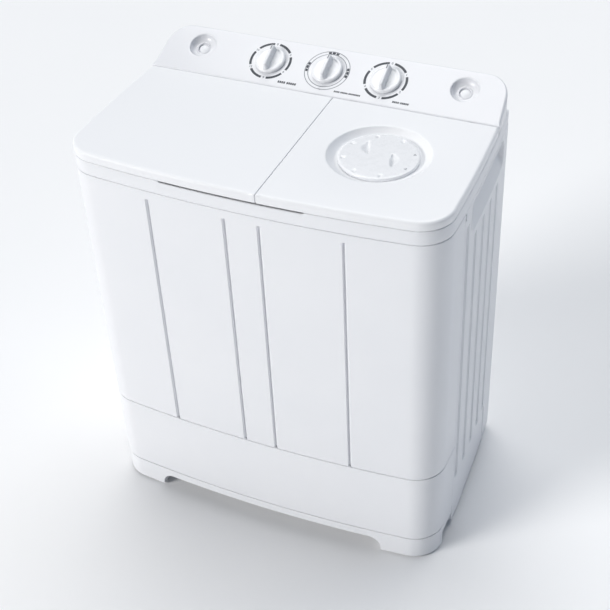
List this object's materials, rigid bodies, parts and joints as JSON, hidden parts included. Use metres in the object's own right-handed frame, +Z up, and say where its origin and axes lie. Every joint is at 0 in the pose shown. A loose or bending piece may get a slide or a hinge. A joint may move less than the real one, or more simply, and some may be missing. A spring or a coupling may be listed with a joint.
{
  "type": "top load washing machine",
  "caption": "Compact top loading twin tub washing machine with a wide wash lid, a spin dryer lid and a sloped console with knobs.",
  "frame": {"origin": "centre of the base on the floor, under the middle of the bounding box", "axes": "+Z up, front faces -Y, +X to the right seen from the front"},
  "size_m": [0.6, 0.37, 0.7334],
  "materials": {
    "white_shell": "gloss, faint moulded grain",
    "white_lid": "gloss",
    "knob_white": "gloss",
    "tub_white": "satin gloss",
    "inner_grey": "satin moulded",
    "clear_blue": "gloss, tinted",
    "rubber_dark": "matte",
    "belt_black": "matte",
    "steel": "turned",
    "basket_steel": "drawn and punched",
    "alloy": "cast",
    "motor_paint": "satin",
    "bracket_zinc": "zinc plated",
    "bronze": "sintered",
    "dark_plastic": "moulded"
  },
  "bodies": {
    "cabinet": {"base_frame": "white_shell", "rubber_feet": "rubber_dark", "plinth_panel": "white_shell", "front_panel": "white_shell", "left_side_panel": "white_shell", "right_side_panel": "white_shell", "left_handle_cup": "white_shell", "right_handle_cup": "white_shell", "rear_panel": "white_shell", "service_cover": "white_shell", "service_cover_screws": "steel", "top_frame": "white_shell", "lid_hinge_pins": "steel", "wash_tub": "tub_white", "spin_outer_tub": "tub_white", "console_housing": "white_shell", "wash_timer": "dark_plastic", "drain_selector": "inner_grey", "spin_timer": "dark_plastic", "wash_inlet_port": "white_shell", "spin_inlet_port": "white_shell", "wash_water_spout": "tub_white", "spin_water_spout": "tub_white", "wash_bearing_housing": "alloy", "wash_shaft_bushes": "bronze", "drive_belt": "belt_black", "wash_motor_housing": "motor_paint", "wash_motor_bracket": "bracket_zinc", "brake_post": "bracket_zinc", "spin_seal": "rubber_dark", "spin_bearing": "bronze", "spin_motor_housing": "motor_paint", "spin_motor_springs": "rubber_dark", "drain_valve_body": "inner_grey", "drain_pipe": "inner_grey", "spin_drain_hose": "rubber_dark", "filter_channel": "tub_white", "capacitors": "alloy", "lid_switch": "dark_plastic"},
    "wash_lid": {"wash_lid": "white_lid"},
    "spin_lid": {"spin_lid": "white_lid"},
    "rinse_dial": {"rinse_dial": "knob_white"},
    "wash_timer_knob": {"wash_timer_knob": "knob_white"},
    "selector_knob": {"selector_knob": "knob_white"},
    "spin_timer_knob": {"spin_timer_knob": "knob_white"},
    "agitator": {"pulsator": "tub_white", "pulsator_cap": "inner_grey", "wash_shaft": "steel", "wash_pulley": "alloy"},
    "wash_rotor": {"wash_motor_rotor": "steel", "wash_motor_pulley": "alloy"},
    "basket": {"spin_basket": "basket_steel", "balance_ring": "tub_white", "spin_shaft": "steel", "brake_drum": "alloy", "spin_motor_rotor": "steel"},
    "safety_cover": {"spin_safety_cover": "clear_blue"},
    "drain_plug": {"drain_plug": "rubber_dark"},
    "lint_filter": {"lint_filter": "clear_blue"},
    "brake_lever": {"brake_lever": "bracket_zinc"}
  },
  "joints": [
    {"name": "wash_lid_hinge", "type": "hinge", "parent": "cabinet", "child": "wash_lid", "pos_m": [-0.135, 0.0959, 0.686], "axis": [-1, 0, 0], "range_deg": [0, 95]},
    {"name": "spin_lid_hinge", "type": "hinge", "parent": "cabinet", "child": "spin_lid", "pos_m": [0.156, 0.0959, 0.686], "axis": [-1, 0, 0], "range_deg": [0, 95]},
    {"name": "rinse_dial_turn", "type": "hinge", "parent": "spin_lid", "child": "rinse_dial", "pos_m": [0.152, -0.027, 0.683], "axis": [0, 0, 1], "range_deg": [0, 22.5]},
    {"name": "wash_timer_turn", "type": "hinge", "parent": "cabinet", "child": "wash_timer_knob", "pos_m": [-0.098, 0.14319, 0.70944], "axis": [0, 0.4226, -0.9063], "range_deg": [0, 300]},
    {"name": "selector_turn", "type": "hinge", "parent": "cabinet", "child": "selector_knob", "pos_m": [0, 0.14319, 0.70944], "axis": [0, 0.4226, -0.9063], "range_deg": [-90, 90]},
    {"name": "spin_timer_turn", "type": "hinge", "parent": "cabinet", "child": "spin_timer_knob", "pos_m": [0.098, 0.14319, 0.70944], "axis": [0, 0.4226, -0.9063], "range_deg": [0, 300]},
    {"name": "agitator_turn", "type": "hinge", "parent": "cabinet", "child": "agitator", "pos_m": [-0.126, -0.037, 0.076], "axis": [0, 0, 1], "continuous": true},
    {"name": "wash_rotor_turn", "type": "hinge", "parent": "cabinet", "child": "wash_rotor", "pos_m": [-0.014, 0.094, 0.076], "axis": [0, 0, 1], "continuous": true},
    {"name": "basket_turn", "type": "hinge", "parent": "cabinet", "child": "basket", "pos_m": [0.152, -0.027, 0.2], "axis": [0, 0, 1], "continuous": true},
    {"name": "safety_cover_lift", "type": "slide", "parent": "basket", "child": "safety_cover", "axis": [0, 0, 1], "range_m": [0, 0.03]},
    {"name": "drain_plug_lift", "type": "slide", "parent": "cabinet", "child": "drain_plug", "axis": [0, 0, 1], "range_m": [0, 0.012]},
    {"name": "lint_filter_lift", "type": "slide", "parent": "cabinet", "child": "lint_filter", "axis": [0, 0, 1], "range_m": [0, 0.03]},
    {"name": "brake_lever_turn", "type": "hinge", "parent": "cabinet", "child": "brake_lever", "pos_m": [0.214, -0.057, 0.19], "axis": [0, 0, 1], "range_deg": [0, 4]}
  ],
  "couplings": [
    {"joint": "wash_rotor_turn", "follows": "agitator_turn", "ratio": 5.8462},
    {"joint": "brake_lever_turn", "follows": "spin_lid_hinge", "ratio": 0.042105}
  ]
}
